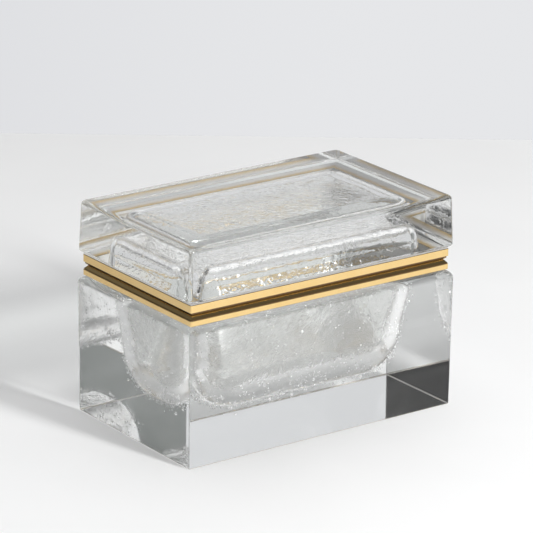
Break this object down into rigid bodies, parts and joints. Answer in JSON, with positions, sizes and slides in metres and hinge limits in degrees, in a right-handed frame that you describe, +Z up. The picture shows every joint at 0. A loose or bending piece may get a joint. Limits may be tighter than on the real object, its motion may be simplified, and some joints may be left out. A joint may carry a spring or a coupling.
{
  "type": "hinged glass casket box",
  "caption": "Hinged keepsake casket: thick clear glass base and lid blocks with bubbly bowls, gilt brass rims and a knuckle hinge at the back.",
  "frame": {"origin": "middle of the foot, on the surface the casket stands on", "axes": "+X along the hinge, -Y out of the front long wall, +Z up"},
  "size_m": [0.16, 0.098, 0.1106],
  "materials": {
    "glass": "clear cast glass, polished outside, fire-finished and bubbly in the bowls",
    "gilt_brass": "gilded and polished, with fine lengthwise brushing",
    "hinge_brass": "gilded and polished",
    "pin_brass": "drawn wire, plain ends"
  },
  "bodies": {
    "base": {"base_block": "glass", "base_rail_front": "gilt_brass", "base_rail_back": "gilt_brass", "base_rail_left": "gilt_brass", "base_rail_right": "gilt_brass", "hinge_knuckle_base_left": "hinge_brass", "hinge_knuckle_base_middle": "hinge_brass", "hinge_knuckle_base_right": "hinge_brass", "hinge_pin": "pin_brass"},
    "lid": {"lid_block": "glass", "lid_rail_front": "gilt_brass", "lid_rail_back": "gilt_brass", "lid_rail_left": "gilt_brass", "lid_rail_right": "gilt_brass", "hinge_knuckle_lid_left": "hinge_brass", "hinge_knuckle_lid_right": "hinge_brass"}
  },
  "joints": [
    {"name": "lid_hinge", "type": "hinge", "parent": "base", "child": "lid", "pos_m": [0, 0.04535, 0.07669], "axis": [-1, 0, 0], "range_deg": [0, 95]}
  ]
}
